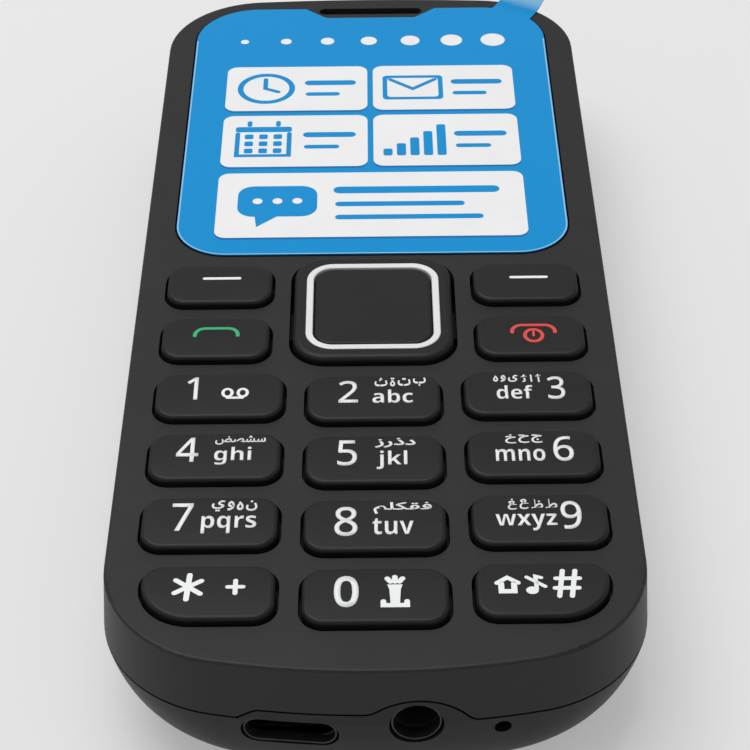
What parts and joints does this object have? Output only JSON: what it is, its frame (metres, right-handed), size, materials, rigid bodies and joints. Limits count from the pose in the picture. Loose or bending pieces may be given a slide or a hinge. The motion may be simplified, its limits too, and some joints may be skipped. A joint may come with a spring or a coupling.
{
  "type": "mobile phone",
  "caption": "Bar-shaped keypad phone with a display window under a peel-off film, pressing keys, a rocking navigation pad, a clip-off rear cover and sockets in its lower end.",
  "frame": {"origin": "middle of the flat of the back, on which the phone lies", "axes": "+X to the right seen from the front, +Y towards the earpiece end, +Z out of the display"},
  "size_m": [0.0454, 0.107, 0.0156],
  "materials": {
    "housing_plastic": "fine matte moulded black",
    "cover_plastic": "fine matte moulded black",
    "key_plastic": "satin moulded black with printed legends",
    "ring_plastic": "white, satin",
    "window_plastic": "dark polished acrylic",
    "film": "printed blue peel-off film",
    "adhesive": "thin black tape",
    "mesh_cloth": "black woven mesh",
    "foam": "black closed-cell foam",
    "black_rubber": "moulded silicone",
    "receiver_plastic": "black moulded frame",
    "display_glass": "polished glass",
    "light_guide": "white frame",
    "ribbon": "amber polyimide",
    "contact_steel": "sprung steel",
    "lamp_resin": "yellow resin",
    "clear_plastic": "clear moulded",
    "board_laminate": "green solder mask",
    "sheet_steel": "tinned sheet",
    "chip_resin": "moulded black resin",
    "socket_plastic": "black moulded",
    "battery_can": "drawn can, satin",
    "motor_steel": "plated",
    "antenna_copper": "stamped",
    "chassis_plastic": "moulded black",
    "screw_steel": "blackened"
  },
  "bodies": {
    "battery_cover": {"battery_cover": "cover_plastic"},
    "phone": {"front_housing": "housing_plastic", "window_lens": "window_plastic", "protective_film": "film", "window_adhesive": "adhesive", "earpiece_mesh": "mesh_cloth", "earpiece_gasket": "foam", "display_gasket": "foam", "speaker_gasket": "foam", "keypad_web": "black_rubber", "microphone_boot": "black_rubber", "earpiece_receiver": "receiver_plastic", "loudspeaker": "receiver_plastic", "display_panel": "display_glass", "display_backlight": "light_guide", "display_flex": "ribbon", "dome_sheet": "ribbon", "key_domes": "contact_steel", "keypad_leds": "lamp_resin", "torch_led": "lamp_resin", "torch_lens": "clear_plastic", "main_board": "board_laminate", "shield_can_left": "sheet_steel", "shield_can_right": "sheet_steel", "usb_connector": "sheet_steel", "sim_socket_left": "sheet_steel", "sim_socket_right": "sheet_steel", "memory_card_socket": "sheet_steel", "microphone": "sheet_steel", "processor_chip": "chip_resin", "radio_chip": "chip_resin", "audio_jack": "socket_plastic", "battery_connector": "socket_plastic", "battery": "battery_can", "vibration_motor": "motor_steel", "antenna": "antenna_copper", "rear_chassis": "chassis_plastic", "case_screws": "screw_steel"},
    "key_1": {"key_1": "key_plastic"},
    "key_2": {"key_2": "key_plastic"},
    "key_3": {"key_3": "key_plastic"},
    "key_4": {"key_4": "key_plastic"},
    "key_5": {"key_5": "key_plastic"},
    "key_6": {"key_6": "key_plastic"},
    "key_7": {"key_7": "key_plastic"},
    "key_8": {"key_8": "key_plastic"},
    "key_9": {"key_9": "key_plastic"},
    "key_star": {"key_star": "key_plastic"},
    "key_0": {"key_0": "key_plastic"},
    "key_hash": {"key_hash": "key_plastic"},
    "call_key": {"call_key": "key_plastic"},
    "end_key": {"end_key": "key_plastic"},
    "soft_key_left": {"soft_key_left": "key_plastic"},
    "soft_key_right": {"soft_key_right": "key_plastic"},
    "nav_pivot": {"nav_pivot": "black_rubber"},
    "nav_key": {"nav_key": "key_plastic", "nav_ring": "ring_plastic"},
    "select_key": {"select_key": "key_plastic"},
    "vibration_weight": {"vibration_weight": "motor_steel"}
  },
  "joints": [
    {"name": "key_1_press", "type": "slide", "parent": "phone", "child": "key_1", "axis": [0, 0, -1], "range_m": [0, 0.00035], "stiffness_N_per_m": 2000},
    {"name": "key_2_press", "type": "slide", "parent": "phone", "child": "key_2", "axis": [0, 0, -1], "range_m": [0, 0.00035], "stiffness_N_per_m": 2000},
    {"name": "key_3_press", "type": "slide", "parent": "phone", "child": "key_3", "axis": [0, 0, -1], "range_m": [0, 0.00035], "stiffness_N_per_m": 2000},
    {"name": "key_4_press", "type": "slide", "parent": "phone", "child": "key_4", "axis": [0, 0, -1], "range_m": [0, 0.00035], "stiffness_N_per_m": 2000},
    {"name": "key_5_press", "type": "slide", "parent": "phone", "child": "key_5", "axis": [0, 0, -1], "range_m": [0, 0.00035], "stiffness_N_per_m": 2000},
    {"name": "key_6_press", "type": "slide", "parent": "phone", "child": "key_6", "axis": [0, 0, -1], "range_m": [0, 0.00035], "stiffness_N_per_m": 2000},
    {"name": "key_7_press", "type": "slide", "parent": "phone", "child": "key_7", "axis": [0, 0, -1], "range_m": [0, 0.00035], "stiffness_N_per_m": 2000},
    {"name": "key_8_press", "type": "slide", "parent": "phone", "child": "key_8", "axis": [0, 0, -1], "range_m": [0, 0.00035], "stiffness_N_per_m": 2000},
    {"name": "key_9_press", "type": "slide", "parent": "phone", "child": "key_9", "axis": [0, 0, -1], "range_m": [0, 0.00035], "stiffness_N_per_m": 2000},
    {"name": "key_star_press", "type": "slide", "parent": "phone", "child": "key_star", "axis": [0, 0, -1], "range_m": [0, 0.00035], "stiffness_N_per_m": 2000},
    {"name": "key_0_press", "type": "slide", "parent": "phone", "child": "key_0", "axis": [0, 0, -1], "range_m": [0, 0.00035], "stiffness_N_per_m": 2000},
    {"name": "key_hash_press", "type": "slide", "parent": "phone", "child": "key_hash", "axis": [0, 0, -1], "range_m": [0, 0.00035], "stiffness_N_per_m": 2000},
    {"name": "call_key_press", "type": "slide", "parent": "phone", "child": "call_key", "axis": [0, 0, -1], "range_m": [0, 0.00035], "stiffness_N_per_m": 2000},
    {"name": "end_key_press", "type": "slide", "parent": "phone", "child": "end_key", "axis": [0, 0, -1], "range_m": [0, 0.00035], "stiffness_N_per_m": 2000},
    {"name": "soft_key_left_press", "type": "slide", "parent": "phone", "child": "soft_key_left", "axis": [0, 0, -1], "range_m": [0, 0.00035], "stiffness_N_per_m": 2000},
    {"name": "soft_key_right_press", "type": "slide", "parent": "phone", "child": "soft_key_right", "axis": [0, 0, -1], "range_m": [0, 0.00035], "stiffness_N_per_m": 2000},
    {"name": "nav_rock_up_down", "type": "hinge", "parent": "phone", "child": "nav_pivot", "pos_m": [0, -0.00654, 0.0114], "axis": [1, 0, 0], "range_deg": [-2, 2], "stiffness_Nm_per_rad": 0.2},
    {"name": "nav_rock_left_right", "type": "hinge", "parent": "nav_pivot", "child": "nav_key", "pos_m": [0, -0.00654, 0.0114], "axis": [0, 1, 0], "range_deg": [-2, 2], "stiffness_Nm_per_rad": 0.2},
    {"name": "select_press", "type": "slide", "parent": "nav_key", "child": "select_key", "axis": [0, 0, -1], "range_m": [0, 0.00035], "stiffness_N_per_m": 2000},
    {"name": "weight_spin", "type": "hinge", "parent": "phone", "child": "vibration_weight", "pos_m": [0.0134, 0.0399, 0.0045], "axis": [0, 1, 0], "continuous": true},
    {"name": "cover_release", "type": "slide", "parent": "battery_cover", "child": "phone", "axis": [0, 0, 1], "range_m": [0, 0.03]}
  ]
}
